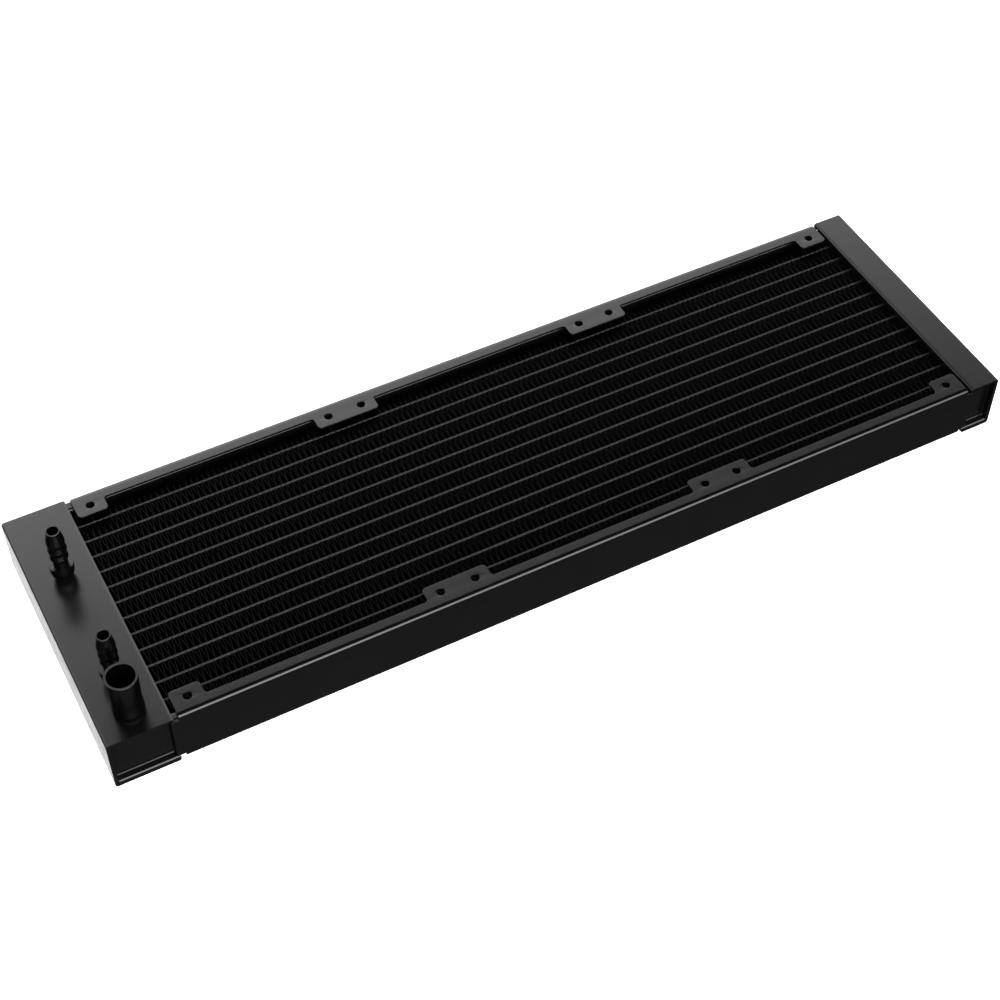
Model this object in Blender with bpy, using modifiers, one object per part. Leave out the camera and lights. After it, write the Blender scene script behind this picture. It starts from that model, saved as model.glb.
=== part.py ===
"""Liquid cooling radiator for three 120 mm fans, as its separate brazed pieces.

Twelve flat tubes run along X between two tanks, with a corrugated fin strip on each side of every tube.
A side plate closes each long side of the core, and outside it a folded rail carries the fan screws. The
inlet tank, at -X, is split by a baffle, so the coolant goes out through six tubes and comes back through
the other six.
The origin is the centre of the footprint, on the surface that the tanks stand on. Lengths are in metres.
"""
import math

import bmesh
import bpy

# Overall size
LENGTH = 0.4022
WIDTH = 0.1198
TANK_HEIGHT = 0.0266
GAP = 0.0003                        # clearance between touching pieces

# Fans: their centres are on the core's centre line, CORE_X from the origin
CORE_X = 0.00635
FAN_COUNT = 3
FAN_SIZE = 0.120
FAN_HOLE_PITCH = 0.105
FAN_HOLE_RADIUS = 0.00175

# Rails: a folded channel with screw tabs along both flanges
RAIL_BOTTOM = 0.0004
RAIL_TOP = 0.0270
RAIL_LENGTH = 0.3578
RAIL_SHEET = 0.0012
RAIL_BEND_RADIUS = 0.0021
FLANGE_REACH = 0.00555              # from the outer face to the flange's inner edge
TAB_REACH = 0.01205                 # from the outer face to a tab's tip
TAB_HALF_WIDTH = 0.0063             # from a hole to the side of its tab
TAB_TIP_RADIUS = 0.0016
TAB_ROOT_RADIUS = 0.0014
TONGUE_REACH = 0.0013               # the web alone reaches into the tanks' open ends
TONGUE_TOP_INSET = 0.0024           # how much lower than the flange the web is there
TONGUE_BOTTOM_INSET = 0.0027
SIDE_PLATE_SHEET = 0.0008
SIDE_PLATE_INSET = 0.0020           # from the rail's top and bottom to the side plate's

# Tanks
INLET_TANK_LENGTH = 0.02645
RETURN_TANK_LENGTH = 0.01425
TANK_SIDE_WALL = 0.0016
TANK_TOP_WALL = 0.0014
TANK_BOTTOM_WALL = 0.0028
TANK_EDGE_RADIUS = 0.0012
INLET_LIP_RADIUS = 0.0003           # top edge over the header plate
RETURN_LIP_RADIUS = 0.0013
CAP_RECESS = 0.0030
CAP_THICKNESS = 0.0016
HEADER_RECESS = 0.0030              # from a shell's open end to its header plate's
BAFFLE_THICKNESS = 0.0015

# Core
CORE_Z = 0.0137
TUBE_COUNT = 12
TUBE_ROW_HALF_WIDTH = 0.04725       # centre line to the outermost tube
TUBE_THICKNESS = 0.0010
TUBE_DEPTH = 0.0185
TUBE_WALL = 0.00025
TUBE_INSERTION = 0.0020             # how far a tube reaches past its header plate, into the tank
FIN_DEPTH = 0.0185
FIN_SHEET = 0.0005                  # measured across the strip
FIN_PITCH = 0.0125

# Fittings on the inlet tank, heights above its top
FITTING_INSET = 0.01365             # from the tank's outer face to the fittings' axis
INLET_BARB_Y = 0.0233
OUTLET_BARB_Y = -0.0322
FILL_PORT_Y = -0.0476
BARB_TOP = 0.0270
BARB_BORE_RADIUS = 0.0023
BARB_TIP_RADIUS = 0.0028
BARB_BEADS = (                      # radius and height of each bead and of the waist below it
    (0.0037, 0.0207), (0.0033, 0.0188),
    (0.0038, 0.0166), (0.0033, 0.0144),
    (0.0037, 0.0123), (0.0030, 0.0103),
)
BARB_STEM_RADIUS = 0.0030
BARB_COLLAR_RADIUS = 0.0049
BARB_COLLAR_TOP = 0.0080
BARB_BOWL = ((0.00485, 0.0050), (0.0043, 0.0023), (0.0037, 0.0009))    # under the collar
BARB_BASE_RADIUS = 0.0032
BARB_SPIGOT_RADIUS = 0.0029
PORT_TOP = 0.0206
PORT_RIM_RADIUS = 0.00635
PORT_BODY_RADIUS = 0.00595
PORT_BORE_RADIUS = 0.0054
PORT_FLARE_TOP = 0.0085             # where the cup starts to widen into its foot
PORT_FOOT_RADIUS = 0.00625
PORT_FOOT_TOP = 0.0022
PORT_FOOT_BOTTOM = 0.0012
PORT_BASE_RADIUS = 0.0054
PORT_FLOOR = 0.0010
PORT_DRAIN_RADIUS = 0.0038
PORT_SPIGOT_RADIUS = 0.0046
SPIGOT_DEPTH = 0.0024

# Resolution
ARC_STEPS = 3                       # segments in a quarter circle of an outline
BARB_SEGMENTS = 24
PORT_SEGMENTS = 32
HOLE_SEGMENTS = 16
OVERCUT = 0.001                     # how far a cutter passes the surface that it cuts

# Places worked out from the dimensions above
HALF_LENGTH = LENGTH / 2
HALF_WIDTH = WIDTH / 2
WEB_INSIDE = HALF_WIDTH - RAIL_SHEET
INLET_FACE = -HALF_LENGTH + INLET_TANK_LENGTH
RETURN_FACE = HALF_LENGTH - RETURN_TANK_LENGTH
CHAMBER_BOTTOM = TANK_BOTTOM_WALL + GAP
CHAMBER_TOP = TANK_HEIGHT - TANK_TOP_WALL - GAP
FITTING_X = -HALF_LENGTH + FITTING_INSET
TUBE_PITCH = 2 * TUBE_ROW_HALF_WIDTH / (TUBE_COUNT - 1)
SIDE_PLATE_INSIDE = TUBE_ROW_HALF_WIDTH + TUBE_PITCH - TUBE_THICKNESS / 2

BLACK = (0.012, 0.012, 0.013, 1.0)
DARK = (0.008, 0.008, 0.009, 1.0)
BARE_ALUMINIUM = (0.55, 0.56, 0.57, 1.0)


def clear_scene():
    for obj in list(bpy.data.objects):
        bpy.data.objects.remove(obj, do_unlink=True)


def new_collection(name):
    collection = bpy.data.collections.new(name)
    bpy.context.scene.collection.children.link(collection)
    return collection


def new_material(name, colour, roughness, metallic):
    material = bpy.data.materials.new(name)
    material.use_nodes = True
    shader = material.node_tree.nodes["Principled BSDF"]
    shader.inputs["Base Color"].default_value = colour
    shader.inputs["Roughness"].default_value = roughness
    shader.inputs["Metallic"].default_value = metallic
    material.diffuse_color = colour
    return material


def rounded(corners, steps=ARC_STEPS):
    """Points of a closed outline from its corners (x, y, radius), with an arc at each radius."""
    points = []
    count = len(corners)
    for index, (x, y, radius) in enumerate(corners):
        if radius == 0:
            points.append((x, y))
            continue
        before = corners[index - 1]
        after = corners[(index + 1) % count]
        to_before = math.atan2(before[1] - y, before[0] - x)
        to_after = math.atan2(after[1] - y, after[0] - x)
        turn = (to_after - to_before + math.pi) % math.tau - math.pi
        reach = radius / math.sin(abs(turn) / 2)
        middle = to_before + turn / 2
        centre = (x + reach * math.cos(middle), y + reach * math.sin(middle))
        side = math.copysign(1, turn)
        start = to_before - side * math.pi / 2
        sweep = turn - side * math.pi
        for step in range(steps + 1):
            angle = start + sweep * step / steps
            points.append((centre[0] + radius * math.cos(angle), centre[1] + radius * math.sin(angle)))
    return points


def slot_outline(width, depth, centre_x=0.0, centre_y=0.0):
    """A slot with round ends, `width` across X and `depth` along Y."""
    half = width / 2
    reach = depth / 2
    corners = [
        (centre_x - half, centre_y - reach, half),
        (centre_x + half, centre_y - reach, half),
        (centre_x + half, centre_y + reach, half),
        (centre_x - half, centre_y + reach, half),
    ]
    points = []
    for point in rounded(corners):
        if not points or math.dist(point, points[-1]) > GAP / 10:
            points.append(point)
    return points


def settle(obj, material, collection):
    """Give a finished mesh object its material, collection and smooth round faces."""
    obj.data.materials.clear()
    obj.data.materials.append(material)
    obj.data.shade_smooth()
    obj.data.set_sharp_from_angle(angle=math.radians(35))
    collection.objects.link(obj)
    return obj


def extrusion(name, outlines, low, high, axis):
    """Solid between two planes across `axis`, from closed outlines; inner outlines are openings.

    Along Z the outlines are (x, y), along Y they are (x, z), and along X they are (y, z).
    """
    curve = bpy.data.curves.new(name + "_outline", "CURVE")
    curve.dimensions = "2D"
    curve.fill_mode = "BOTH"
    curve.extrude = (high - low) / 2
    for outline in outlines:
        spline = curve.splines.new("POLY")
        spline.points.add(len(outline) - 1)
        for point, (u, v) in zip(spline.points, outline):
            point.co = (u, v, 0.0, 1.0)
        spline.use_cyclic_u = True
    source = bpy.data.objects.new(name + "_source", curve)
    bpy.context.scene.collection.objects.link(source)
    middle = (low + high) / 2
    if axis == "X":
        source.rotation_euler = (math.pi / 2, 0.0, math.pi / 2)
        source.location.x = middle
    elif axis == "Y":
        source.rotation_euler = (math.pi / 2, 0.0, 0.0)
        source.location.y = middle
    else:
        source.location.z = middle
    bpy.context.view_layer.update()
    evaluated = source.evaluated_get(bpy.context.evaluated_depsgraph_get())
    mesh = bpy.data.meshes.new_from_object(evaluated)
    mesh.name = name
    weld(mesh)
    solid = bpy.data.objects.new(name, mesh)
    solid.matrix_world = source.matrix_world.copy()
    bpy.data.objects.remove(source, do_unlink=True)
    bpy.data.curves.remove(curve)
    return solid


def weld(mesh):
    bm = bmesh.new()
    bm.from_mesh(mesh)
    bmesh.ops.remove_doubles(bm, verts=bm.verts, dist=0.00001)
    bmesh.ops.recalc_face_normals(bm, faces=bm.faces)
    bm.to_mesh(mesh)
    bm.free()


def block(name, low, high):
    """A box between two corners, its origin at its centre."""
    mesh = bpy.data.meshes.new(name)
    bm = bmesh.new()
    bmesh.ops.create_cube(bm, size=1.0)
    bmesh.ops.scale(bm, vec=[high[i] - low[i] for i in range(3)], verts=bm.verts)
    bm.to_mesh(mesh)
    bm.free()
    solid = bpy.data.objects.new(name, mesh)
    solid.location = [(low[i] + high[i]) / 2 for i in range(3)]
    return solid


def turned(name, profile, location, segments):
    """A hollow turned piece: its closed profile (radius, height) is swept once round Z."""
    mesh = bpy.data.meshes.new(name)
    count = len(profile)
    edges = [(index, (index + 1) % count) for index in range(count)]
    mesh.from_pydata([(radius, 0.0, height) for radius, height in profile], edges, [])
    solid = bpy.data.objects.new(name, mesh)
    solid.location = location
    screw = solid.modifiers.new("Turn", "SCREW")
    screw.steps = segments
    screw.render_steps = segments
    screw.use_merge_vertices = True
    screw.merge_threshold = 0.00001
    screw.use_smooth_shade = True
    return solid


def drills(name, centres, radii, low, high):
    """Upright cylinders at (x, y) centres, joined in one cutter."""
    mesh = bpy.data.meshes.new(name)
    bm = bmesh.new()
    for (x, y), radius in zip(centres, radii):
        made = bmesh.ops.create_cone(bm, cap_ends=True, segments=HOLE_SEGMENTS, radius1=radius,
                                     radius2=radius, depth=high - low)
        bmesh.ops.translate(bm, vec=(x, y, (low + high) / 2), verts=made["verts"])
    bm.to_mesh(mesh)
    bm.free()
    return bpy.data.objects.new(name, mesh)


def cut(solid, cutter, cutters):
    cutters.objects.link(cutter)
    cutter.hide_render = True
    cutter.display_type = "WIRE"
    boolean = solid.modifiers.new("Cut " + cutter.name, "BOOLEAN")
    boolean.operation = "DIFFERENCE"
    boolean.solver = "EXACT"
    boolean.object = cutter


def tab_centres():
    """The middle of each screw tab along the rail and its half width; neighbouring fans share a tab."""
    first = CORE_X - (FAN_COUNT - 1) * FAN_SIZE / 2
    fans = [first + index * FAN_SIZE for index in range(FAN_COUNT)]
    holes = [fan + side * FAN_HOLE_PITCH / 2 for fan in fans for side in (-1, 1)]
    tabs = [(holes[0] - TAB_HALF_WIDTH, holes[0] + TAB_HALF_WIDTH)]
    for index in range(1, len(holes) - 1, 2):
        tabs.append((holes[index] - TAB_HALF_WIDTH, holes[index + 1] + TAB_HALF_WIDTH))
    tabs.append((holes[-1] - TAB_HALF_WIDTH, holes[-1] + TAB_HALF_WIDTH))
    return holes, tabs


def flange_trim_outline(side):
    """Everything inside the flange's edge and past the rail's ends, seen from above."""
    edge = side * (HALF_WIDTH - FLANGE_REACH)
    tip = side * (HALF_WIDTH - TAB_REACH)
    inside = tip - side * 2 * OVERCUT
    outside = side * (HALF_WIDTH + OVERCUT)
    low_end = CORE_X - RAIL_LENGTH / 2
    high_end = CORE_X + RAIL_LENGTH / 2
    past = 6 * OVERCUT
    _, tabs = tab_centres()
    corners = [(low_end - past, inside, 0), (low_end - past, outside, 0), (low_end, outside, 0)]
    for index, (start, stop) in enumerate(tabs):
        if index == 0:
            corners.append((low_end, tip, TAB_TIP_RADIUS))
        else:
            corners.append((start, edge, TAB_ROOT_RADIUS))
            corners.append((start, tip, TAB_TIP_RADIUS))
        if index == len(tabs) - 1:
            corners.append((high_end, tip, TAB_TIP_RADIUS))
        else:
            corners.append((stop, tip, TAB_TIP_RADIUS))
            corners.append((stop, edge, TAB_ROOT_RADIUS))
    corners += [(high_end, outside, 0), (high_end + past, outside, 0), (high_end + past, inside, 0)]
    return rounded(corners)


def make_rail(name, side, material, parts, cutters):
    """A channel that opens inwards, trimmed to its screw tabs and drilled for the fan screws."""
    tip = side * (HALF_WIDTH - TAB_REACH - OVERCUT)
    outer = side * HALF_WIDTH
    inner = side * WEB_INSIDE
    bend_inside = RAIL_BEND_RADIUS - RAIL_SHEET
    section = rounded([
        (tip, RAIL_TOP, 0),
        (outer, RAIL_TOP, RAIL_BEND_RADIUS),
        (outer, RAIL_BOTTOM, RAIL_BEND_RADIUS),
        (tip, RAIL_BOTTOM, 0),
        (tip, RAIL_BOTTOM + RAIL_SHEET, 0),
        (inner, RAIL_BOTTOM + RAIL_SHEET, bend_inside),
        (inner, RAIL_TOP - RAIL_SHEET, bend_inside),
        (tip, RAIL_TOP - RAIL_SHEET, 0),
    ])
    rail = extrusion(name, [section], INLET_FACE - TONGUE_REACH, RETURN_FACE + TONGUE_REACH, "X")
    trim = flange_trim_outline(side)
    above = extrusion(name + "_top_trim", [trim], RAIL_TOP - TONGUE_TOP_INSET, RAIL_TOP + OVERCUT, "Z")
    tongue_bottom = RAIL_BOTTOM + TONGUE_BOTTOM_INSET
    below = extrusion(name + "_bottom_trim", [trim], RAIL_BOTTOM - OVERCUT, tongue_bottom, "Z")
    holes, _ = tab_centres()
    hole_y = side * FAN_HOLE_PITCH / 2
    centres = [(x, hole_y) for x in holes]
    radii = [FAN_HOLE_RADIUS] * len(holes)
    screws = drills(name + "_screw_holes", centres, radii, RAIL_BOTTOM - OVERCUT, RAIL_TOP + OVERCUT)
    settle(rail, material, parts)
    for cutter in (above, below, screws):
        cut(rail, cutter, cutters)


def make_side_plate(name, side, material, parts):
    """A shallow channel between the core and the rail's web, its flanges turned outwards."""
    low = RAIL_BOTTOM + SIDE_PLATE_INSET
    high = RAIL_TOP - SIDE_PLATE_INSET
    inner = side * SIDE_PLATE_INSIDE
    tip = side * (WEB_INSIDE - GAP)
    web = inner + side * SIDE_PLATE_SHEET
    section = rounded([
        (tip, high, 0),
        (inner, high, SIDE_PLATE_SHEET),
        (inner, low, SIDE_PLATE_SHEET),
        (tip, low, 0),
        (tip, low + SIDE_PLATE_SHEET, 0),
        (web, low + SIDE_PLATE_SHEET, 0),
        (web, high - SIDE_PLATE_SHEET, 0),
        (tip, high - SIDE_PLATE_SHEET, 0),
    ])
    plate = extrusion(name, [section], INLET_FACE + GAP, RETURN_FACE - GAP, "X")
    settle(plate, material, parts)


def shell_section(outer, inner, lip_radius):
    """The tank's folded wall: top, outer side and bottom, open on the side of its header plate."""
    way = math.copysign(1, inner - outer)
    inside = outer + way * TANK_SIDE_WALL
    return rounded([
        (inner, TANK_HEIGHT, lip_radius),
        (outer, TANK_HEIGHT, TANK_EDGE_RADIUS),
        (outer, 0.0, TANK_EDGE_RADIUS),
        (inner, 0.0, TANK_EDGE_RADIUS),
        (inner, TANK_BOTTOM_WALL, 0),
        (inside, TANK_BOTTOM_WALL, 0),
        (inside, TANK_HEIGHT - TANK_TOP_WALL, 0),
        (inner, TANK_HEIGHT - TANK_TOP_WALL, 0),
    ])


def make_tank(prefix, outer, inner, lip_radius, materials, parts):
    """A tank's shell, its slotted header plate and its two recessed end caps."""
    way = math.copysign(1, inner - outer)
    section = shell_section(outer, inner, lip_radius)
    shell = extrusion(prefix + "_tank_shell", [section], -HALF_WIDTH, HALF_WIDTH, "Y")
    settle(shell, materials["tank"], parts)

    end = HALF_WIDTH - HEADER_RECESS
    plate_outline = [(-end, CHAMBER_BOTTOM), (end, CHAMBER_BOTTOM), (end, CHAMBER_TOP), (-end, CHAMBER_TOP)]
    slots = [slot_outline(TUBE_THICKNESS + 2 * GAP, TUBE_DEPTH + 2 * GAP, y, CORE_Z) for y in tube_places()]
    low, high = sorted((inner, inner - way * TANK_SIDE_WALL))
    plate = extrusion(prefix + "_header_plate", [plate_outline] + slots, low, high, "X")
    settle(plate, materials["header"], parts)

    low, high = chamber_span(outer, inner)
    for place, side in (("front", -1), ("back", 1)):
        face = side * (HALF_WIDTH - CAP_RECESS)
        y_low, y_high = sorted((face, face - side * CAP_THICKNESS))
        cap = block(f"{prefix}_tank_{place}_cap", (low, y_low, CHAMBER_BOTTOM), (high, y_high, CHAMBER_TOP))
        settle(cap, materials["cap"], parts)
    return shell


def chamber_span(outer, inner):
    """The clear length along X between a tank's outer wall and its header plate."""
    way = math.copysign(1, inner - outer)
    return sorted((outer + way * (TANK_SIDE_WALL + GAP), inner - way * (TANK_SIDE_WALL + GAP)))


def tube_places():
    return [-TUBE_ROW_HALF_WIDTH + index * TUBE_PITCH for index in range(TUBE_COUNT)]


def make_tubes(material, parts):
    reach = TANK_SIDE_WALL + TUBE_INSERTION
    for index, y in enumerate(tube_places()):
        outside = slot_outline(TUBE_THICKNESS, TUBE_DEPTH, y, CORE_Z)
        inside = slot_outline(TUBE_THICKNESS - 2 * TUBE_WALL, TUBE_DEPTH - 2 * TUBE_WALL, y, CORE_Z)
        name = f"tube_{index + 1:02d}"
        tube = extrusion(name, [outside, inside], INLET_FACE - reach, RETURN_FACE + reach, "X")
        settle(tube, material, parts)


def fin_rows():
    """The clear width (low, high) of each fin row, from the front side plate to the back one."""
    walls = [-SIDE_PLATE_INSIDE]
    for y in tube_places():
        walls += [y - TUBE_THICKNESS / 2, y + TUBE_THICKNESS / 2]
    walls.append(SIDE_PLATE_INSIDE)
    return [(walls[index] + GAP, walls[index + 1] - GAP) for index in range(0, len(walls), 2)]


def corrugation(low, high, start, stop):
    """A sheet folded to and fro between `low` and `high`, seen along its folds."""
    folds = round((stop - start) / (FIN_PITCH / 2))
    step = (stop - start) / folds
    near = []
    far = []
    for index in range(folds + 1):
        crest = high - FIN_SHEET if index % 2 else low
        x = start + index * step
        near.append((x, crest))
        far.append((x, crest + FIN_SHEET))
    return near + far[::-1]


def make_fins(material, parts):
    low_z = CORE_Z - FIN_DEPTH / 2
    high_z = CORE_Z + FIN_DEPTH / 2
    for index, (low, high) in enumerate(fin_rows()):
        outline = corrugation(low, high, INLET_FACE + GAP, RETURN_FACE - GAP)
        strip = extrusion(f"fin_strip_{index + 1:02d}", [outline], low_z, high_z, "Z")
        settle(strip, material, parts)


def barb_profile():
    """Down the outside from the tip, over the beads and the collar, then back up the bore."""
    profile = [
        (BARB_TIP_RADIUS, BARB_TOP),
        *BARB_BEADS,
        (BARB_STEM_RADIUS, BARB_COLLAR_TOP),
        (BARB_COLLAR_RADIUS, BARB_COLLAR_TOP),
        *BARB_BOWL,
        (BARB_BASE_RADIUS, GAP),
        (BARB_SPIGOT_RADIUS, GAP),
        (BARB_SPIGOT_RADIUS, -SPIGOT_DEPTH),
        (BARB_BORE_RADIUS, -SPIGOT_DEPTH),
        (BARB_BORE_RADIUS, BARB_TOP),
    ]
    return profile


def port_profile():
    """Down the outside of the filling cup, then back up through its drain hole and its bore."""
    return [
        (PORT_RIM_RADIUS, PORT_TOP),
        (PORT_BODY_RADIUS, PORT_FLARE_TOP),
        (PORT_FOOT_RADIUS, PORT_FOOT_TOP),
        (PORT_FOOT_RADIUS, PORT_FOOT_BOTTOM),
        (PORT_BASE_RADIUS, GAP),
        (PORT_SPIGOT_RADIUS, GAP),
        (PORT_SPIGOT_RADIUS, -SPIGOT_DEPTH),
        (PORT_DRAIN_RADIUS, -SPIGOT_DEPTH),
        (PORT_DRAIN_RADIUS, PORT_FLOOR),
        (PORT_BORE_RADIUS, PORT_FLOOR),
        (PORT_BORE_RADIUS, PORT_TOP),
    ]


def make_fittings(shell, material, parts, cutters):
    barb_hole = BARB_SPIGOT_RADIUS + GAP
    port_hole = PORT_SPIGOT_RADIUS + GAP
    fittings = [
        ("inlet_barb", INLET_BARB_Y, barb_profile(), BARB_SEGMENTS, barb_hole),
        ("outlet_barb", OUTLET_BARB_Y, barb_profile(), BARB_SEGMENTS, barb_hole),
        ("fill_port", FILL_PORT_Y, port_profile(), PORT_SEGMENTS, port_hole),
    ]
    for name, y, profile, segments, _ in fittings:
        settle(turned(name, profile, (FITTING_X, y, TANK_HEIGHT), segments), material, parts)
    centres = [(FITTING_X, y) for _, y, _, _, _ in fittings]
    radii = [hole for _, _, _, _, hole in fittings]
    low = TANK_HEIGHT - TANK_TOP_WALL - OVERCUT
    cut(shell, drills("fitting_holes", centres, radii, low, TANK_HEIGHT + OVERCUT), cutters)


def make_baffle(material, parts):
    low, high = chamber_span(-HALF_LENGTH, INLET_FACE)
    half = BAFFLE_THICKNESS / 2
    baffle = block("inlet_tank_baffle", (low, -half, CHAMBER_BOTTOM), (high, half, CHAMBER_TOP))
    settle(baffle, material, parts)


def parent_to_frame(parts):
    frame = bpy.data.objects.new("radiator_frame", None)
    frame.empty_display_size = 0.05
    parts.objects.link(frame)
    for obj in parts.objects:
        if obj is not frame:
            obj.parent = frame


def main():
    clear_scene()
    parts = new_collection("liquid_cooling_radiator")
    cutters = new_collection("cutters")
    materials = {
        "tank": new_material("tank_paint", BLACK, 0.40, 0.0),
        "cap": new_material("cap_paint", BLACK, 0.42, 0.0),
        "header": new_material("header_paint", DARK, 0.50, 0.0),
        "rail": new_material("rail_paint", BLACK, 0.38, 0.0),
        "side_plate": new_material("side_plate_paint", DARK, 0.45, 0.0),
        "tube": new_material("tube_paint", BLACK, 0.45, 0.0),
        "fin": new_material("fin_paint", DARK, 0.55, 0.0),
        "fitting": new_material("fitting_paint", BLACK, 0.35, 0.0),
        "baffle": new_material("bare_aluminium", BARE_ALUMINIUM, 0.45, 1.0),
    }
    inlet_shell = make_tank("inlet", -HALF_LENGTH, INLET_FACE, INLET_LIP_RADIUS, materials, parts)
    make_tank("return", HALF_LENGTH, RETURN_FACE, RETURN_LIP_RADIUS, materials, parts)
    make_baffle(materials["baffle"], parts)
    make_rail("front_rail", -1, materials["rail"], parts, cutters)
    make_rail("back_rail", 1, materials["rail"], parts, cutters)
    make_side_plate("front_side_plate", -1, materials["side_plate"], parts)
    make_side_plate("back_side_plate", 1, materials["side_plate"], parts)
    make_tubes(materials["tube"], parts)
    make_fins(materials["fin"], parts)
    make_fittings(inlet_shell, materials["fitting"], parts, cutters)
    parent_to_frame(parts)


main()
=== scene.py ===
"""Looks of the liquid cooling radiator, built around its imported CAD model.

Each piece stands for one CAD node and takes its place from that node's box. Lengths are in metres.
"""

import math

import bmesh
import bpy
import numpy as np
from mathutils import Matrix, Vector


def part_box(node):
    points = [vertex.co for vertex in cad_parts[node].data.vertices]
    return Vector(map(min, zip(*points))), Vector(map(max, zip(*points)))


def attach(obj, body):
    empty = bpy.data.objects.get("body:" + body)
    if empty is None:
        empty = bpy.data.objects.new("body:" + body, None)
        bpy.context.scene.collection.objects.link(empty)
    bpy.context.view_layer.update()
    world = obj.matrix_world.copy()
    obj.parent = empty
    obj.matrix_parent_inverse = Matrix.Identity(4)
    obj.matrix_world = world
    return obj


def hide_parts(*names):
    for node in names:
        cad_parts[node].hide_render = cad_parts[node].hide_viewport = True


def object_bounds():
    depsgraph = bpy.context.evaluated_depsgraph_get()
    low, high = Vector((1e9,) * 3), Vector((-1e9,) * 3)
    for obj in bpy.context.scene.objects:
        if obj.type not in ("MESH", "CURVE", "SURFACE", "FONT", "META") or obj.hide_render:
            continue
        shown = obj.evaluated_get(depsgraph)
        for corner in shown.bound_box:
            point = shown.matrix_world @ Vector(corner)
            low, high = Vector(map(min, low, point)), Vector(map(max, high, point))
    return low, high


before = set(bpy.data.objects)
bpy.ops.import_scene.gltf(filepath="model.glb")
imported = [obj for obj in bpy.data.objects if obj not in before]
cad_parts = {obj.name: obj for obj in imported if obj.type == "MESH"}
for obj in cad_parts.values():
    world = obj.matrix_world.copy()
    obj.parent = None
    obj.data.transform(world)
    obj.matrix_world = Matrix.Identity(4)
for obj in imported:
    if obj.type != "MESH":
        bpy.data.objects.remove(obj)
cad_low, cad_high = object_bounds()
scene = bpy.context.scene

# Tanks
TANK_SIDE_WALL = 0.0016
TANK_TOP_WALL = 0.0014
TANK_BOTTOM_WALL = 0.0028
TANK_EDGE_RADIUS = 0.0012
INLET_LIP_REACH = 0.0009            # the inlet tank's lip slopes down over the header plate
INLET_LIP_DROP = 0.00034
RETURN_LIP_RADIUS = 0.0013
TANK_MOUTH_EDGE = 0.00005           # outer edge round the tank's open end
TANK_MOUTH_INNER_EDGE = 0.0004
TANK_SILL_RADIUS = 0.0015           # inner edge of the bottom wall at the open end
TANK_CORNER = 0.0004                # inside corners of the folded shell
MOUTH_STATIONS = (                  # distances from the open end of the shell's cross-sections
    0.0, 0.00002, 0.00005, 0.00015, 0.0003, 0.0005, 0.0008, 0.0011, TANK_SILL_RADIUS,
)
CAP_RECESS = 0.0030
CAP_FILLET = 0.0005
CAP_CLEARANCE = 0.00002             # between a cap's rim and the tank's walls

# Rails
RAIL_SHEET = 0.0012
RAIL_BEND_RADIUS = 0.0021           # of the folds' outer face
RAIL_BEND_LENGTH = RAIL_BEND_RADIUS * math.pi / 2
RAIL_EDGE = 0.00015
FLANGE_REACH = 0.00555
TAB_REACH = 0.01205
TAB_HALF_WIDTH = 0.0063
TAB_TIP_RADIUS = 0.0016
TAB_ROOT_RADIUS = 0.0014
TONGUE_REACH = 0.0013
TONGUE_TOP_INSET = 0.0024
TONGUE_BOTTOM_INSET = 0.0027
FAN_COUNT = 3
FAN_SIZE = 0.120
FAN_HOLE_PITCH = 0.105
FAN_HOLE_RADIUS = 0.00175
CORE_X = 0.00635
RAIL_LENGTH = 0.3578
SIDE_PLATE_SHEET = 0.0008
SIDE_PLATE_EDGE = 0.0001

# Core
TUBE_COUNT = 12
TUBE_WALL = 0.00025
CORE_EDGE = 0.00005                 # rounding of the tubes' and header plates' rims
FIN_SHEET = 0.0001
FIN_PITCH = 0.0025
FIN_FRONT_FOLD = 0.00006            # radius of the folds on the strip's -Y side
FIN_BACK_FOLD = 0.0003
FIN_FOLD_STEPS = 4

# Fittings, heights above the tank's top
BARB_TOP = 0.0270
BARB_BEADS = (                      # radius and height: the tip, then each bead and the waist below it
    (0.0028, BARB_TOP),
    (0.0037, 0.0207), (0.0033, 0.0188),
    (0.0038, 0.0166), (0.0033, 0.0144),
    (0.0037, 0.0123), (0.0030, 0.0103),
)
BARB_BORE = 0.0023
BARB_COLLAR = ((0.0030, 0.0080), (0.0049, 0.0080))      # its flat top, from the stem outwards
BARB_SPIGOT = 0.0029
PORT_TOP = 0.0206
PORT_RADIUS = 0.00635
PORT_BORE = 0.0054
PORT_WAIST = (0.00595, 0.0085)
PORT_FLOOR = 0.0010
PORT_SPIGOT = 0.0046
PORT_DRAIN = 0.0038
SEAT = -0.00005                     # the fittings' feet sink this far into the tank
SPIGOT_DEPTH = 0.0024
# Curves of (radius, height): start, the point it bends towards, and end
BARB_BOWL = ((0.00486, 0.0054), (0.0047, 0.0020), (0.0032, SEAT))
PORT_FOOT = ((0.00625, 0.0022), (PORT_RADIUS, 0.0004), (0.0053, SEAT))
CRISP = 0.00004                     # rounding of a machined edge

# Meshes
ARC_STEPS = 8
TURN_SEGMENTS = 72
HOLE_SEGMENTS = 48
DRILL_DEPTH = 0.006
WELD_DISTANCE = 0.000002

# Paint: noise scales per metre
MOTTLE_SCALE = 90
CLOUD_SCALE = 160
GRAIN_SCALE = 2600
GRAIN_HEIGHT = 0.00004
ROUGHNESS_SPREAD = 0.025            # cloudiness moves the roughness this much either way

# Studio. Brightness by angle round the X axis, from straight down past the back, overhead and the front
SOFTBOXES = (
    (-90, 0.03), (-60, 0.03), (-20, 0.3), (-12, 1.0), (8, 1.3), (21, 1.8), (31, 5.0), (40, 5.0),
    (57.3, 0.03), (110, 0.03), (128, 0.03), (139, 8.0), (161, 8.0), (172, 0.11), (269, 0.11),
)
PEAK = 8.0
FALLOFF = 1.3                       # how fast the softboxes fade towards their ends
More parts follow.
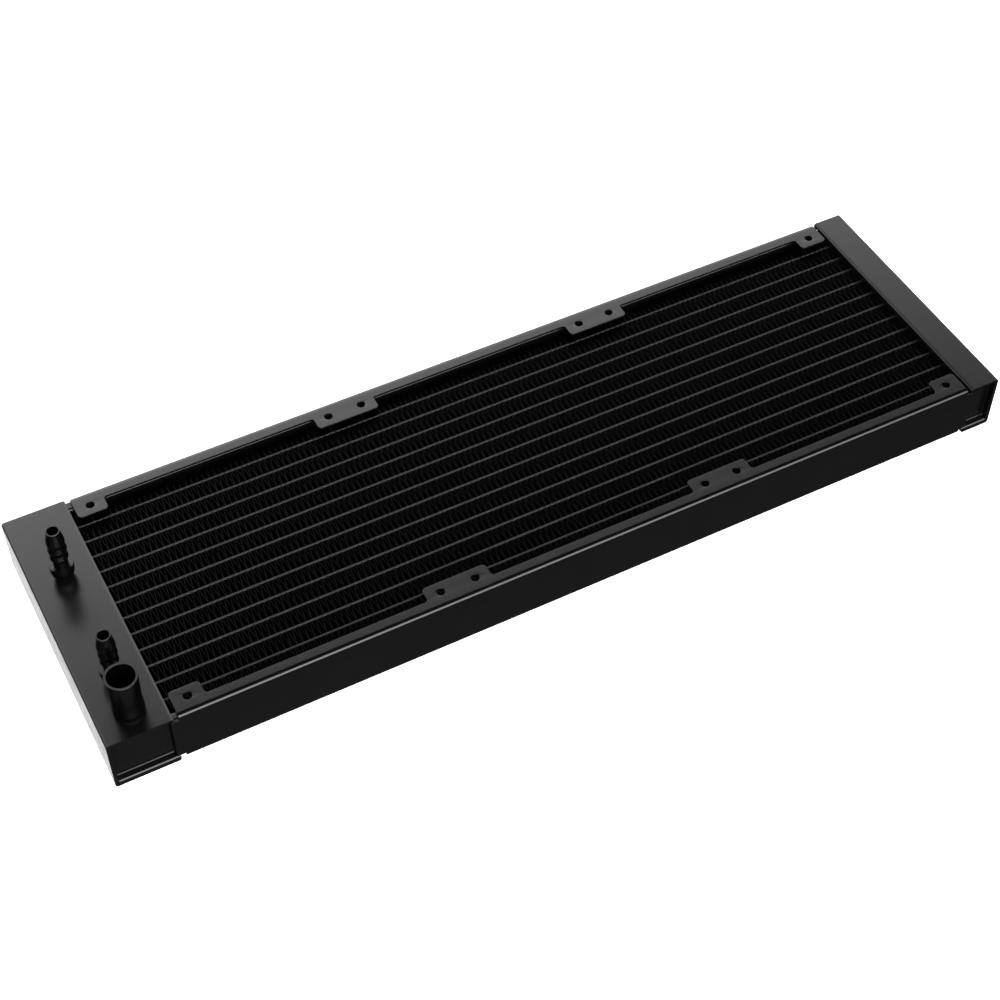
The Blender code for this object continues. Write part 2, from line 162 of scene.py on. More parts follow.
# A card low on the left, which lights the inlet tank's outer wall: its brightness, then on each axis of
# the direction where its edge is dark and where it is bright
CARD = 2.4
CARD_RIGHT_EDGE = (0.04, -0.04)
CARD_LEFT_EDGE = (-0.2, -0.1)
CARD_TOP_EDGE = (-0.2, -0.5)
CARD_BACK_EDGE = (0.1, 0.4)
FLOOR_Z = -0.0001
FLOOR_RADIUS = 3.0
FLOOR_BEND = 1.0                    # radius of the sweep from the floor up into the wall
FLOOR_BEND_STEPS = 12
WALL_TOP = 5.0
SWEEP_SEGMENTS = 96
LENS = 69.741                       # millimetres, on a sensor 36 wide
SENSOR_WIDTH = 36.0
CAMERA_PLACE = (-0.256747, -0.471910, 0.618569)
CAMERA_ANGLES = (40.7185, -0.0836, -27.7289)


# Shapes

def rounded(corners, steps=ARC_STEPS):
    """Points of a closed outline from its corners (x, y, radius), with an arc at each radius."""
    points = []
    count = len(corners)
    for index, (x, y, radius) in enumerate(corners):
        if radius == 0:
            points.append((x, y))
            continue
        before = corners[index - 1]
        after = corners[(index + 1) % count]
        to_before = math.atan2(before[1] - y, before[0] - x)
        to_after = math.atan2(after[1] - y, after[0] - x)
        turn = (to_after - to_before + math.pi) % math.tau - math.pi
        reach = radius / math.sin(abs(turn) / 2)
        middle = to_before + turn / 2
        centre = (x + reach * math.cos(middle), y + reach * math.sin(middle))
        side = math.copysign(1, turn)
        start = to_before - side * math.pi / 2
        sweep = turn - side * math.pi
        for step in range(steps + 1):
            angle = start + sweep * step / steps
            points.append((centre[0] + radius * math.cos(angle), centre[1] + radius * math.sin(angle)))
    return points


def circle(x, y, radius, steps=HOLE_SEGMENTS):
    angles = [math.tau * step / steps for step in range(steps)]
    return [(x + radius * math.cos(angle), y + radius * math.sin(angle)) for angle in angles]


def slot_outline(centre_x, centre_y, width, depth, steps=20):
    """A slot with round ends, `width` across X and `depth` along Y."""
    radius = width / 2
    reach = depth / 2 - radius
    points = []
    for end in (-1, 1):
        for step in range(steps + 1):
            angle = math.pi * step / steps + (math.pi if end < 0 else 0)
            x = centre_x + radius * math.cos(angle)
            points.append((x, centre_y + end * reach + radius * math.sin(angle)))
    return points


def finish_mesh(name, mesh, place=None, sharp=40):
    """Weld a mesh, put its points where `place` says and make it an object with smooth round faces."""
    if place is not None:
        points = np.empty(len(mesh.vertices) * 3)
        mesh.vertices.foreach_get("co", points)
        mesh.vertices.foreach_set("co", place(points.reshape(-1, 3)).ravel())
    bm = bmesh.new()
    bm.from_mesh(mesh)
    bmesh.ops.remove_doubles(bm, verts=bm.verts, dist=WELD_DISTANCE)
    bmesh.ops.recalc_face_normals(bm, faces=bm.faces)
    bm.to_mesh(mesh)
    bm.free()
    mesh.shade_smooth()
    mesh.set_sharp_from_angle(angle=math.radians(sharp))
    piece = bpy.data.objects.new(name, mesh)
    scene.collection.objects.link(piece)
    weighted = piece.modifiers.new("Face weighted normals", "WEIGHTED_NORMAL")
    weighted.keep_sharp = True
    return piece


def sheet_mesh(name, outlines, thickness, edge, edge_steps=3):
    """A sheet across the XY plane, half above it and half below, with its rims rounded."""
    curve = bpy.data.curves.new(name, "CURVE")
    curve.dimensions = "2D"
    curve.fill_mode = "BOTH"
    curve.extrude = thickness / 2 - edge
    curve.bevel_depth = edge
    curve.bevel_resolution = edge_steps
    curve.offset = -edge
    for outline in outlines:
        spline = curve.splines.new("POLY")
        spline.points.add(len(outline) - 1)
        for point, (u, v) in zip(spline.points, outline):
            point.co = (u, v, 0.0, 1.0)
        spline.use_cyclic_u = True
    source = bpy.data.objects.new(name + "_source", curve)
    scene.collection.objects.link(source)
    bpy.context.view_layer.update()
    evaluated = source.evaluated_get(bpy.context.evaluated_depsgraph_get())
    mesh = bpy.data.meshes.new_from_object(evaluated)
    mesh.name = name
    bpy.data.objects.remove(source, do_unlink=True)
    bpy.data.curves.remove(curve)
    return mesh


def along_x(low, high):
    """Places a sheet's (u, v) on (y, z), with its thickness from low to high along X."""
    def place(points):
        middle = (low + high) / 2
        return np.stack([points[:, 2] + middle, points[:, 0], points[:, 1]], 1)
    return place


def loft_mesh(name, rings):
    """A closed solid through rings of the same number of points, capped at both ends."""
    count = len(rings[0])
    faces = []
    for ring in range(len(rings) - 1):
        for index in range(count):
            after = (index + 1) % count
            low = ring * count
            faces.append((low + index, low + after, low + count + after, low + count + index))
    faces.append(tuple(range(count)))
    last = (len(rings) - 1) * count
    faces.append(tuple(range(last, last + count)))
    mesh = bpy.data.meshes.new(name)
    mesh.from_pydata([point for ring in rings for point in ring], [], faces)
    return mesh


def turned_mesh(name, profile, x, y, z):
    """A closed profile (radius, height) turned once round an upright axis at (x, y)."""
    count = len(profile)
    points = []
    faces = []
    for turn in range(TURN_SEGMENTS):
        angle = math.tau * turn / TURN_SEGMENTS
        for radius, height in profile:
            points.append((x + radius * math.cos(angle), y + radius * math.sin(angle), z + height))
        low = turn * count
        high = (turn + 1) % TURN_SEGMENTS * count
        for index in range(count):
            after = (index + 1) % count
            faces.append((low + index, high + index, high + after, low + after))
    mesh = bpy.data.meshes.new(name)
    mesh.from_pydata(points, [], faces)
    return mesh


def inset(distance, radius):
    """How far a rounded edge has drawn back at this distance from the end."""
    if distance >= radius:
        return 0.0
    return radius - math.sqrt(radius ** 2 - (radius - distance) ** 2)


# Materials

def new_material(name):
    material = bpy.data.materials.new(name)
    material.use_nodes = True
    tree = material.node_tree
    return material, tree, tree.nodes["Principled BSDF"]


def noise(tree, coordinates, scale, detail, roughness=0.5):
    node = tree.nodes.new("ShaderNodeTexNoise")
    node.inputs["Scale"].default_value = scale
    node.inputs["Detail"].default_value = detail
    node.inputs["Roughness"].default_value = roughness
    tree.links.new(coordinates, node.inputs["Vector"])
    return node.outputs["Fac"]


def spread(tree, value, low, high):
    """Maps the middle of a noise's range to low and high."""
    node = tree.nodes.new("ShaderNodeMapRange")
    node.inputs["From Min"].default_value = 0.3
    node.inputs["From Max"].default_value = 0.7
    node.inputs["To Min"].default_value = low
    node.inputs["To Max"].default_value = high
    tree.links.new(value, node.inputs["Value"])
    return node.outputs["Result"]


def paint(name, dark, light, roughness, specular=0.5):
    """A semi-gloss coat: soft mottling of its colour, faint cloudiness of its gloss and a fine skin."""
    material, tree, shader = new_material(name)
    coordinates = tree.nodes.new("ShaderNodeTexCoord").outputs["Object"]
    ramp = tree.nodes.new("ShaderNodeValToRGB")
    ramp.color_ramp.elements[0].position = 0.35
    ramp.color_ramp.elements[0].color = (dark, dark, dark * 1.06, 1)
    ramp.color_ramp.elements[1].position = 0.65
    ramp.color_ramp.elements[1].color = (light, light, light * 1.06, 1)
    tree.links.new(noise(tree, coordinates, MOTTLE_SCALE, 3), ramp.inputs["Fac"])
    tree.links.new(ramp.outputs["Color"], shader.inputs["Base Color"])
    cloud = noise(tree, coordinates, CLOUD_SCALE, 4, 0.6)
    cloudy = spread(tree, cloud, roughness - ROUGHNESS_SPREAD, roughness + ROUGHNESS_SPREAD)
    tree.links.new(cloudy, shader.inputs["Roughness"])
    shader.inputs["Specular IOR Level"].default_value = specular
    bump = tree.nodes.new("ShaderNodeBump")
    bump.inputs["Distance"].default_value = GRAIN_HEIGHT
    bump.inputs["Strength"].default_value = 0.5
    tree.links.new(noise(tree, coordinates, GRAIN_SCALE, 2), bump.inputs["Height"])
    tree.links.new(bump.outputs["Normal"], shader.inputs["Normal"])
    return material


MATERIALS = {
    "tank_paint": paint("Tank paint", 0.0016, 0.0022, 0.24),
    "cap_paint": paint("Cap paint", 0.0016, 0.0022, 0.24),
    "header_paint": paint("Header paint", 0.0014, 0.0020, 0.30),
    "rail_paint": paint("Rail paint", 0.0016, 0.0022, 0.20),
    # The side plates' paint is darker than the rail's: painted shade, so that the flange seen through the
    # screw holes reads black
    "side_plate_paint": paint("Side plate paint and painted shade", 0.0014, 0.0020, 0.26),
    "tube_paint": paint("Tube paint", 0.0014, 0.0020, 0.36, specular=0.4),
    "fin_paint": paint("Fin paint", 0.0007, 0.0011, 0.42, specular=0.18),
    "fitting_paint": paint("Fitting paint", 0.0010, 0.0015, 0.19),
    "bare_aluminium": paint("Bare aluminium", 0.40, 0.52, 0.34),
}


def settle(piece, node, slot):
    piece.data.materials.clear()
    piece.data.materials.append(MATERIALS[slot])
    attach(piece, "root")
    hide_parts(node)


# Tanks and their caps

def make_shell(prefix, fittings):
    """A folded U section along Y. Its open ends have rounded mouths, widest along the bottom wall."""
    node = prefix + "_tank_shell"
    low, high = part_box(node)
    outward = -1 if prefix == "inlet" else 1
    outer, inner = (low.x, high.x) if outward < 0 else (high.x, low.x)
    if prefix == "inlet":
        lip = [(inner, -INLET_LIP_DROP, 0), (inner + outward * INLET_LIP_REACH, 0, 0)]
    else:
        lip = [(inner, 0, RETURN_LIP_RADIUS)]
    rings = []
    for y_side in (-1, 1):
        half = []
        for distance in MOUTH_STATIONS:
            edge = inset(distance, TANK_MOUTH_EDGE)
            mouth = inset(distance, TANK_MOUTH_INNER_EDGE)
            sill = inset(distance, TANK_SILL_RADIUS)
            out_x = outer - outward * edge
            wall_x = outer - outward * (TANK_SIDE_WALL - mouth)
            bottom = low.z + edge
            top = high.z - edge
            floor = low.z + TANK_BOTTOM_WALL - sill
            ceiling = high.z - TANK_TOP_WALL + mouth
            section = rounded([
                (inner, bottom, TANK_EDGE_RADIUS),
                (inner, floor, 0),
                (wall_x, floor, TANK_CORNER),
                (wall_x, ceiling, TANK_CORNER),
                (inner, ceiling, 0),
                *[(x, top + drop, radius) for x, drop, radius in lip],
                (out_x, top, TANK_EDGE_RADIUS - edge / 2),
                (out_x, bottom, TANK_EDGE_RADIUS - edge / 2),
            ])
            y = y_side * (high.y - distance)
            half.append([(x, y, z) for x, z in section])
        rings += half if y_side < 0 else half[::-1]
    shell = finish_mesh(node + "_painted", loft_mesh(node, rings), sharp=16)
    if fittings:
        drill(shell, fittings, high.z)
    settle(shell, node, "tank_paint")


def drill(shell, fittings, top):
    """Cut the holes that take the fittings' spigots through the tank's top wall."""
    for index, (x, y, radius) in enumerate(fittings):
        mesh = bpy.data.meshes.new(f"drill_{index}")
        bm = bmesh.new()
        bmesh.ops.create_cone(
            bm, cap_ends=True, segments=HOLE_SEGMENTS, radius1=radius, radius2=radius, depth=DRILL_DEPTH)
        bmesh.ops.translate(bm, vec=(x, y, top), verts=bm.verts)
        bm.to_mesh(mesh)
        bm.free()
        cutter = bpy.data.objects.new(f"drill_{index}", mesh)
        scene.collection.objects.link(cutter)
        boolean = shell.modifiers.new(f"Hole {index}", "BOOLEAN")
        boolean.operation = "DIFFERENCE"
        boolean.solver = "EXACT"
        boolean.object = cutter
        shell.modifiers.move(len(shell.modifiers) - 1, 0)
        bpy.context.view_layer.update()
        evaluated = shell.evaluated_get(bpy.context.evaluated_depsgraph_get())
        drilled = bpy.data.meshes.new_from_object(evaluated)
        shell.modifiers.remove(boolean)
        shell.data = drilled
        bpy.data.objects.remove(cutter, do_unlink=True)


def make_cap(prefix, side):
    """The pressed plate that closes a tank's end, with a concave fillet where it meets the walls."""
    node = f"{prefix}_tank_{'front' if side < 0 else 'back'}_cap"
    shell_low, shell_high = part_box(prefix + "_tank_shell")
    low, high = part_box(node)
    left = shell_low.x + TANK_SIDE_WALL
    right = shell_high.x - TANK_SIDE_WALL
    bottom = shell_low.z + TANK_BOTTOM_WALL
    top = shell_high.z - TANK_TOP_WALL
    face = side * (shell_high.y - CAP_RECESS)
    back = low.y if side > 0 else high.y

    def ring(y, draw_in):
        outline = rounded([
            (left + draw_in, bottom + draw_in, TANK_CORNER),
            (right - draw_in, bottom + draw_in, TANK_CORNER),
            (right - draw_in, top - draw_in, TANK_CORNER),
            (left + draw_in, top - draw_in, TANK_CORNER),
        ])
        return [(x, y, z) for x, z in outline]

    rings = [ring(back, CAP_CLEARANCE)]
    for step in range(ARC_STEPS + 1):
        angle = math.pi / 2 * step / ARC_STEPS
        lift = CAP_FILLET * (1 - math.sin(angle))
        rings.append(ring(face + side * lift, CAP_CLEARANCE + CAP_FILLET * (1 - math.cos(angle))))
    cap = finish_mesh(node + "_painted", loft_mesh(node, rings))
    settle(cap, node, "cap_paint")


# Core

def tube_boxes():
    return [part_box(f"tube_{index + 1:02d}") for index in range(TUBE_COUNT)]


def make_header_plate(prefix):
    node = prefix + "_header_plate"
    low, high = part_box(node)
    shell_low, shell_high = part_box(prefix + "_tank_shell")
    outlines = [[
        (low.y, shell_low.z + TANK_BOTTOM_WALL),
        (high.y, shell_low.z + TANK_BOTTOM_WALL),
        (high.y, shell_high.z - TANK_TOP_WALL),
        (low.y, shell_high.z - TANK_TOP_WALL),
    ]]
    for tube_low, tube_high in tube_boxes():
        middle = (tube_low + tube_high) / 2
        outlines.append(slot_outline(middle.y, middle.z, tube_high.y - tube_low.y, tube_high.z - tube_low.z))
    mesh = sheet_mesh(node, outlines, high.x - low.x, CORE_EDGE)
    plate = finish_mesh(node + "_painted", mesh, along_x(low.x, high.x))
    settle(plate, node, "header_paint")


def make_tubes():
    for index, (low, high) in enumerate(tube_boxes()):
        node = f"tube_{index + 1:02d}"
        middle = (low + high) / 2
        width = high.y - low.y
        depth = high.z - low.z
        outlines = [
            slot_outline(middle.y, middle.z, width, depth),
            slot_outline(middle.y, middle.z, width - 2 * TUBE_WALL, depth - 2 * TUBE_WALL),
        ]
        mesh = sheet_mesh(node, outlines, high.x - low.x, CORE_EDGE)
        tube = finish_mesh(node + "_painted", mesh, along_x(low.x, high.x), sharp=20)
        settle(tube, node, "tube_paint")


def fin_walls():
    """The faces between which each fin strip is folded: side plate, tubes, side plate."""
    faces = [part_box("front_side_plate")[1].y]
    for low, high in tube_boxes():
        faces += [low.y, high.y]
    faces.append(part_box("back_side_plate")[0].y)
    return list(zip(faces[::2], faces[1::2]))


def make_fins():
    """Corrugated strips. Their folds touch the walls on both sides."""
    for index, (near, far) in enumerate(fin_walls()):
        node = f"fin_strip_{index + 1:02d}"
        low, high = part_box(node)
        folds = int((high.x - low.x) / (FIN_PITCH / 2))
        front_y = near + FIN_SHEET / 2 + FIN_FRONT_FOLD
        back_y = far - FIN_SHEET / 2 - FIN_BACK_FOLD
        first = (low.x + high.x) / 2 - (folds - 1) * FIN_PITCH / 4
        span = math.hypot(FIN_PITCH / 2, back_y - front_y)
        lean = math.atan2(FIN_PITCH / 2, back_y - front_y)
        lean -= math.asin((FIN_FRONT_FOLD + FIN_BACK_FOLD) / span)
        sweep = np.linspace(lean - math.pi / 2, math.pi / 2 - lean, FIN_FOLD_STEPS + 1)
        fold = np.arange(folds)
        up = np.where(fold % 2 == 0, 1.0, -1.0)[:, None]
        centre_x = (first + fold * FIN_PITCH / 2)[:, None]
        centre_y = np.where(up > 0, back_y, front_y)
        fold_radius = np.where(up > 0, FIN_BACK_FOLD, FIN_FRONT_FOLD)
        across = np.sin(sweep)[None, :] * np.ones_like(up)
        along = np.cos(sweep)[None, :] * up
        rows = []
        for side, z in ((1, high.z), (1, low.z), (-1, low.z), (-1, high.z)):
            radius = fold_radius + side * up * FIN_SHEET / 2
            x = (centre_x + radius * across).ravel()
            y = (centre_y + radius * along).ravel()
            rows.append(np.stack([x, y, np.full_like(x, z)], 1))
        points = np.stack(rows, 1).reshape(-1, 3)
        stations = len(rows[0])
        start = np.arange(stations - 1)[:, None] * 4
        corner = np.arange(4)[None, :]
        after = (corner + 1) % 4
        faces = np.stack([start + corner, start + 4 + corner, start + 4 + after, start + after], 2)
        faces = faces.reshape(-1, 4).tolist()
        last = (stations - 1) * 4
        faces += [[0, 1, 2, 3], [last + 3, last + 2, last + 1, last]]
        mesh = bpy.data.meshes.new(node)
        mesh.from_pydata(points.tolist(), [], faces)
        strip = finish_mesh(node + "_painted", mesh)
        settle(strip, node, "fin_paint")


def core_ends():
    """Where the two tanks start along X."""
    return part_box("inlet_tank_shell")[1].x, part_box("return_tank_shell")[0].x


def make_side_plate(side):
    """A shallow channel beside the core, its flanges turned outwards to the rail's web."""
    node = "front_side_plate" if side < 0 else "back_side_plate"
    low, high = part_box(node)
    left, right = core_ends()
    inner, tip = (high.y, low.y) if side < 0 else (low.y, high.y)
    web = inner + side * SIDE_PLATE_SHEET
    outline = rounded([
        (tip, high.z, 0),
        (inner, high.z, 1.5 * SIDE_PLATE_SHEET),
        (inner, low.z, 1.5 * SIDE_PLATE_SHEET),
        (tip, low.z, 0),
        (tip, low.z + SIDE_PLATE_SHEET, 0),
        (web, low.z + SIDE_PLATE_SHEET, 0.5 * SIDE_PLATE_SHEET),
        (web, high.z - SIDE_PLATE_SHEET, 0.5 * SIDE_PLATE_SHEET),
        (tip, high.z - SIDE_PLATE_SHEET, 0),
    ])
    mesh = sheet_mesh(node, [outline], right - left, SIDE_PLATE_EDGE)
    plate = finish_mesh(node + "_painted", mesh, along_x(left, right), sharp=20)
    settle(plate, node, "side_plate_paint")


# Rails: a flat blank with its tabs and holes, folded along two bends

def screw_holes():
    first = CORE_X - (FAN_COUNT - 1) * FAN_SIZE / 2
    fans = [first + index * FAN_SIZE for index in range(FAN_COUNT)]
    return [fan + side * FAN_HOLE_PITCH / 2 for fan in fans for side in (-1, 1)]


def blank_outlines(low, high):
    """The unfolded rail: X runs along it, and Y across the sheet, from the middle of the web."""
    flat = (high.z - low.z) / 2 - RAIL_BEND_RADIUS + RAIL_BEND_LENGTH - RAIL_BEND_RADIUS
    to_edge = flat + FLANGE_REACH
    to_tip = flat + TAB_REACH
    to_hole = flat + cad_high.y - FAN_HOLE_PITCH / 2
    tongue_top = (high.z - low.z) / 2 - TONGUE_TOP_INSET
    tongue_bottom = (high.z - low.z) / 2 - TONGUE_BOTTOM_INSET
    start = CORE_X - RAIL_LENGTH / 2
    stop = CORE_X + RAIL_LENGTH / 2
    holes = screw_holes()
    tabs = [(start, holes[0] + TAB_HALF_WIDTH)]
    for index in range(1, len(holes) - 1, 2):
        tabs.append((holes[index] - TAB_HALF_WIDTH, holes[index + 1] + TAB_HALF_WIDTH))
    tabs.append((holes[-1] - TAB_HALF_WIDTH, stop))
    flange = []
    for index, (tab_start, tab_stop) in enumerate(tabs):
        if index > 0:
            flange.append((tab_start, to_edge, TAB_ROOT_RADIUS))
        flange.append((tab_start, to_tip, TAB_TIP_RADIUS))
        flange.append((tab_stop, to_tip, TAB_TIP_RADIUS))
        if index < len(tabs) - 1:
            flange.append((tab_stop, to_edge, TAB_ROOT_RADIUS))
    left, right = core_ends()
    left -= TONGUE_REACH
    right += TONGUE_REACH
    corners = [(left, tongue_top, 0), (start, tongue_top, 0)]
    corners += flange
    corners += [(stop, tongue_top, 0), (right, tongue_top, 0)]
    corners += [(right, -tongue_bottom, 0), (stop, -tongue_bottom, 0)]
    corners += [(x, -y, radius) for x, y, radius in flange[::-1]]
    corners += [(start, -tongue_bottom, 0), (left, -tongue_bottom, 0)]
    outlines = [rounded(corners)]
    outlines += [circle(x, side * to_hole, FAN_HOLE_RADIUS) for x in holes for side in (-1, 1)]
    return outlines


def crease(mesh, places):
    """Cut a flat mesh along lines of constant Y, so that it can be folded there."""
    bm = bmesh.new()
    bm.from_mesh(mesh)
    for y in places:
        geometry = bm.verts[:] + bm.edges[:] + bm.faces[:]
        bmesh.ops.bisect_plane(bm, geom=geometry, dist=0.0000001, plane_co=(0, y, 0), plane_no=(0, 1, 0))
    bm.to_mesh(mesh)
    bm.free()


def make_rail(side):
    node = "front_rail" if side < 0 else "back_rail"
    low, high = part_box(node)
    web = (high.z - low.z) / 2 - RAIL_BEND_RADIUS
    middle = (low.z + high.z) / 2
    outer = high.y if side > 0 else -low.y
    mesh = sheet_mesh(node, blank_outlines(low, high), RAIL_SHEET, RAIL_EDGE)
    steps = [web + RAIL_BEND_LENGTH * step / (2 * ARC_STEPS) for step in range(2 * ARC_STEPS + 1)]
    crease(mesh, steps + [-step for step in steps])

    def fold(points):
        across = np.abs(points[:, 1])
        up = np.sign(points[:, 1])
        radius = RAIL_BEND_RADIUS - RAIL_SHEET / 2 + points[:, 2]
        angle = np.clip((across - web) / RAIL_BEND_RADIUS, 0, math.pi / 2)
        past = np.maximum(across - web - RAIL_BEND_LENGTH, 0)
        y = outer - RAIL_BEND_RADIUS + radius * np.cos(angle) - past
        z = middle + up * (np.minimum(across, web) + radius * np.sin(angle))
        return np.stack([points[:, 0], side * y, z], 1)

    rail = finish_mesh(node + "_painted", mesh, fold, sharp=12)
    settle(rail, node, "rail_paint")


# Fittings

def eased(knots, steps=6):
    """A smooth line through (radius, height) knots, upright at each of them."""
    points = []
    for (radius, height), (next_radius, next_height) in zip(knots, knots[1:]):
        for step in range(steps):
            share = step / steps
            ease = (1 - math.cos(math.pi * share)) / 2
            points.append((radius + (next_radius - radius) * ease, height + (next_height - height) * share))
    return points + [knots[-1]]


def arc_through(start, control, stop, steps=10):
    """A quadratic curve of (radius, height) points."""
    points = []
    for step in range(steps + 1):
        share = step / steps
        near, middle, far = (1 - share) ** 2, 2 * share * (1 - share), share ** 2
        points.append(tuple(near * a + middle * b + far * c for a, b, c in zip(start, control, stop)))
    return points


def barb_profile():
    """The barb's profile and its spigot's radius. It runs from the tip down the beads, collar and bowl."""
    tip_radius, _ = BARB_BEADS[0]
    profile = [(BARB_BORE, BARB_TOP - CRISP), (BARB_BORE + CRISP, BARB_TOP)]
    profile += [(tip_radius - CRISP, BARB_TOP), (tip_radius, BARB_TOP - CRISP)]
    profile += eased(BARB_BEADS)[1:]
    profile += BARB_COLLAR
    profile += arc_through(*BARB_BOWL)
    profile += [(BARB_SPIGOT, SEAT), (BARB_SPIGOT, -SPIGOT_DEPTH), (BARB_BORE, -SPIGOT_DEPTH)]
    return profile, BARB_SPIGOT


def port_profile():
    """The cup's profile and its spigot's radius. It runs from the rim down the outside to the floor."""
    profile = [(PORT_BORE, PORT_TOP - CRISP), (PORT_BORE + CRISP, PORT_TOP)]
    profile += [(PORT_RADIUS - CRISP, PORT_TOP), (PORT_RADIUS, PORT_TOP - CRISP)]
    profile += [PORT_WAIST]
    profile += arc_through(*PORT_FOOT, steps=8)
    profile += [(PORT_SPIGOT, SEAT), (PORT_SPIGOT, -SPIGOT_DEPTH), (PORT_DRAIN, -SPIGOT_DEPTH)]
    profile += [(PORT_DRAIN, PORT_FLOOR), (PORT_BORE, PORT_FLOOR)]
    return profile, PORT_SPIGOT


def make_fitting(node, profile, spigot):
    """Stands a fitting on the inlet tank, and returns the place and radius of the hole it needs."""
    low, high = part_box(node)
    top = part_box("inlet_tank_shell")[1].z
    x = (low.x + high.x) / 2
    y = (low.y + high.y) / 2
    fitting = finish_mesh(node + "_painted", turned_mesh(node, profile, x, y, top), sharp=35)
    settle(fitting, node, "fitting_paint")
    return x, y, spigot


def make_fittings():
    holes = [make_fitting(node, *barb_profile()) for node in ("inlet_barb", "outlet_barb")]
    holes.append(make_fitting("fill_port", *port_profile()))
    return holes


# Studio

def world_ramp(tree):
    ramp = tree.nodes.new("ShaderNodeValToRGB")
    elements = ramp.color_ramp.elements
    while len(elements) < len(SOFTBOXES):
        elements.new(0.5)
    for element, (degrees, _) in zip(elements, SOFTBOXES):
        element.position = (degrees + 90) / 360
    for element, (_, value) in zip(elements, SOFTBOXES):
        share = value / PEAK
        element.color = (share, share, share, 1)
    return ramp


def math_node(tree, operation, *inputs):
    node = tree.nodes.new("ShaderNodeMath")
    node.operation = operation
    for socket, value in zip(node.inputs, inputs):
        if isinstance(value, (int, float)):
            socket.default_value = value
        else:
            tree.links.new(value, socket)
    return node.outputs["Value"]


def soft_step(tree, value, dark, bright):
    """0 where the value is `dark`, 1 where it is `bright`, and smooth between them."""
    node = tree.nodes.new("ShaderNodeMapRange")
    node.interpolation_type = "SMOOTHSTEP"
    node.inputs["From Min"].default_value = dark
    node.inputs["From Max"].default_value = bright
    tree.links.new(value, node.inputs["Value"])
    return node.outputs["Result"]


def make_world():
    """Long softboxes that lie along X, so their brightness depends on the angle round that axis."""
    world = bpy.data.worlds.new("Studio")
    scene.world = world
    world.use_nodes = True
    tree = world.node_tree
    softboxes = tree.nodes["Background"]
    direction = tree.nodes.new("ShaderNodeTexCoord").outputs["Generated"]
    split = tree.nodes.new("ShaderNodeSeparateXYZ")
    tree.links.new(direction, split.inputs["Vector"])
    x, y, z = split.outputs
    angle = math_node(tree, "ARCTAN2", z, y)
    wrapped = math_node(tree, "WRAP", angle, 1.5 * math.pi, -0.5 * math.pi)
    ramp = world_ramp(tree)
    share = math_node(tree, "DIVIDE", math_node(tree, "ADD", wrapped, math.pi / 2), math.tau)
    tree.links.new(share, ramp.inputs["Fac"])
    tree.links.new(ramp.outputs["Color"], softboxes.inputs["Color"])
    across = math_node(tree, "SUBTRACT", 1.0, math_node(tree, "MULTIPLY", x, x))
    falloff = math_node(tree, "POWER", across, FALLOFF)
    tree.links.new(math_node(tree, "MULTIPLY", falloff, PEAK), softboxes.inputs["Strength"])
    card = tree.nodes.new("ShaderNodeBackground")
    card.inputs["Color"].default_value = (1, 1, 1, 1)
    sides = math_node(
        tree, "MULTIPLY", soft_step(tree, x, *CARD_RIGHT_EDGE), soft_step(tree, x, *CARD_LEFT_EDGE))
    depth = math_node(
        tree, "MULTIPLY", soft_step(tree, z, *CARD_TOP_EDGE), soft_step(tree, y, *CARD_BACK_EDGE))
    shape = math_node(tree, "MULTIPLY", sides, depth)
    tree.links.new(math_node(tree, "MULTIPLY", shape, CARD), card.inputs["Strength"])
    total = tree.nodes.new("ShaderNodeAddShader")
    tree.links.new(softboxes.outputs["Background"], total.inputs[0])
    tree.links.new(card.outputs["Background"], total.inputs[1])
    tree.links.new(total.outputs["Shader"], tree.nodes["World Output"].inputs["Surface"])


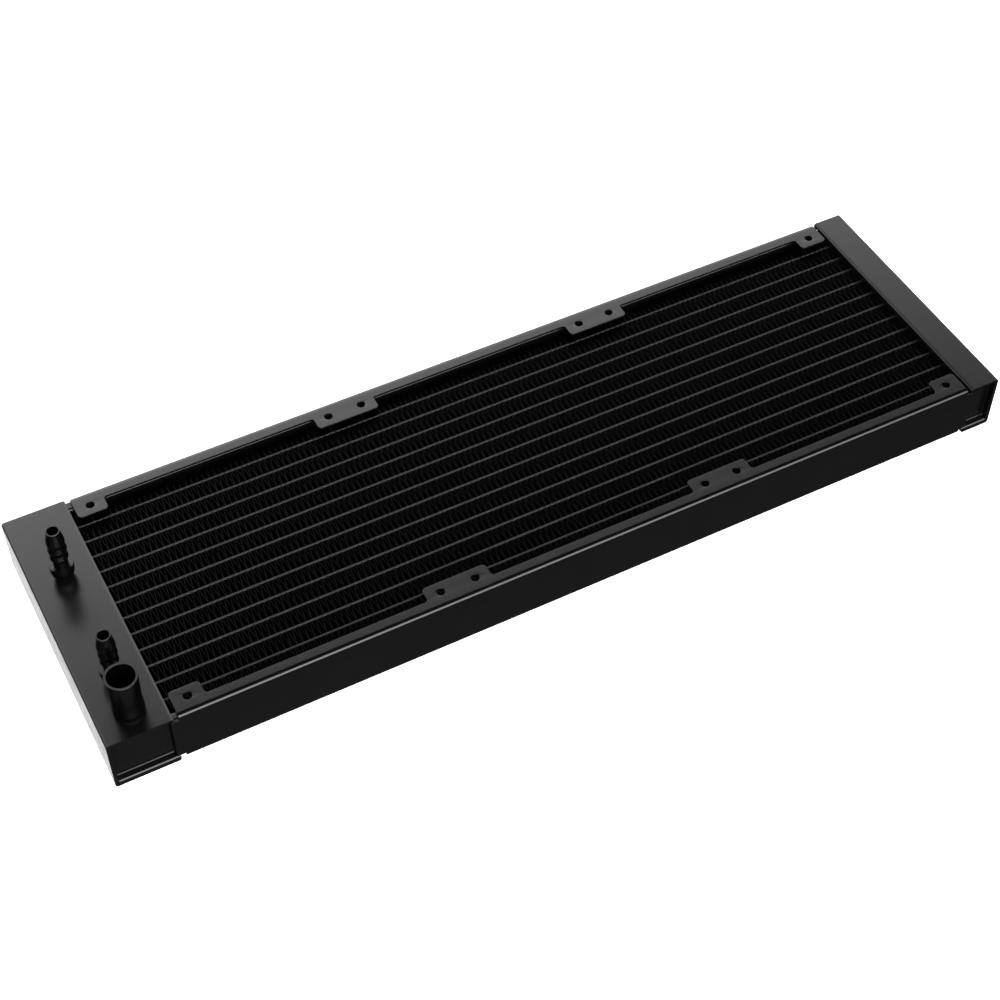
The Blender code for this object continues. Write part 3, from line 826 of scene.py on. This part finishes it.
def make_floor():
    """A pale floor that sweeps up into a white wall all round. Only the camera sees it."""
    material, _, shader = new_material("White sweep")
    shader.inputs["Base Color"].default_value = (0.9, 0.9, 0.9, 1)
    shader.inputs["Roughness"].default_value = 1.0
    shader.inputs["Specular IOR Level"].default_value = 0.0
    shader.inputs["Emission Color"].default_value = (1, 1, 1, 1)
    shader.inputs["Emission Strength"].default_value = 0.9
    profile = [(0.0, FLOOR_Z), (FLOOR_RADIUS, FLOOR_Z)]
    for step in range(1, FLOOR_BEND_STEPS + 1):
        angle = math.pi / 2 * step / FLOOR_BEND_STEPS
        profile.append((FLOOR_RADIUS + FLOOR_BEND * math.sin(angle), FLOOR_BEND * (1 - math.cos(angle))))
    profile.append((FLOOR_RADIUS + FLOOR_BEND, WALL_TOP))
    mesh = bpy.data.meshes.new("sweep")
    bm = bmesh.new()
    line = [bm.verts.new((radius, 0, height)) for radius, height in profile]
    edges = [bm.edges.new(pair) for pair in zip(line, line[1:])]
    bmesh.ops.spin(
        bm, geom=line + edges, cent=(0, 0, 0), axis=(0, 0, 1), angle=math.tau, steps=SWEEP_SEGMENTS)
    bmesh.ops.remove_doubles(bm, verts=bm.verts, dist=0.0001)
    bmesh.ops.recalc_face_normals(bm, faces=bm.faces)
    bmesh.ops.reverse_faces(bm, faces=bm.faces)
    bm.to_mesh(mesh)
    bm.free()
    mesh.shade_smooth()
    mesh.materials.append(material)
    floor = bpy.data.objects.new("floor_sweep", mesh)
    scene.collection.objects.link(floor)
    floor.visible_glossy = False
    floor.visible_diffuse = False
    floor.visible_transmission = False
    floor.visible_shadow = False


def make_camera():
    data = bpy.data.cameras.new("Camera")
    data.lens = LENS
    data.sensor_width = SENSOR_WIDTH
    data.clip_start = 0.01
    data.clip_end = 50.0
    camera = bpy.data.objects.new("Camera", data)
    camera.location = CAMERA_PLACE
    camera.rotation_euler = [math.radians(angle) for angle in CAMERA_ANGLES]
    scene.collection.objects.link(camera)
    scene.camera = camera


fitting_holes = make_fittings()
make_shell("inlet", fitting_holes)
make_shell("return", [])
for tank in ("inlet", "return"):
    make_header_plate(tank)
    for end in (-1, 1):
        make_cap(tank, end)
for rail_side in (-1, 1):
    make_rail(rail_side)
    make_side_plate(rail_side)
make_tubes()
make_fins()

# The baffle keeps its CAD shape
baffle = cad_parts["inlet_tank_baffle"]
baffle.data.materials.clear()
baffle.data.materials.append(MATERIALS["bare_aluminium"])

make_floor()
make_world()
make_camera()
scene.view_settings.view_transform = "Standard"
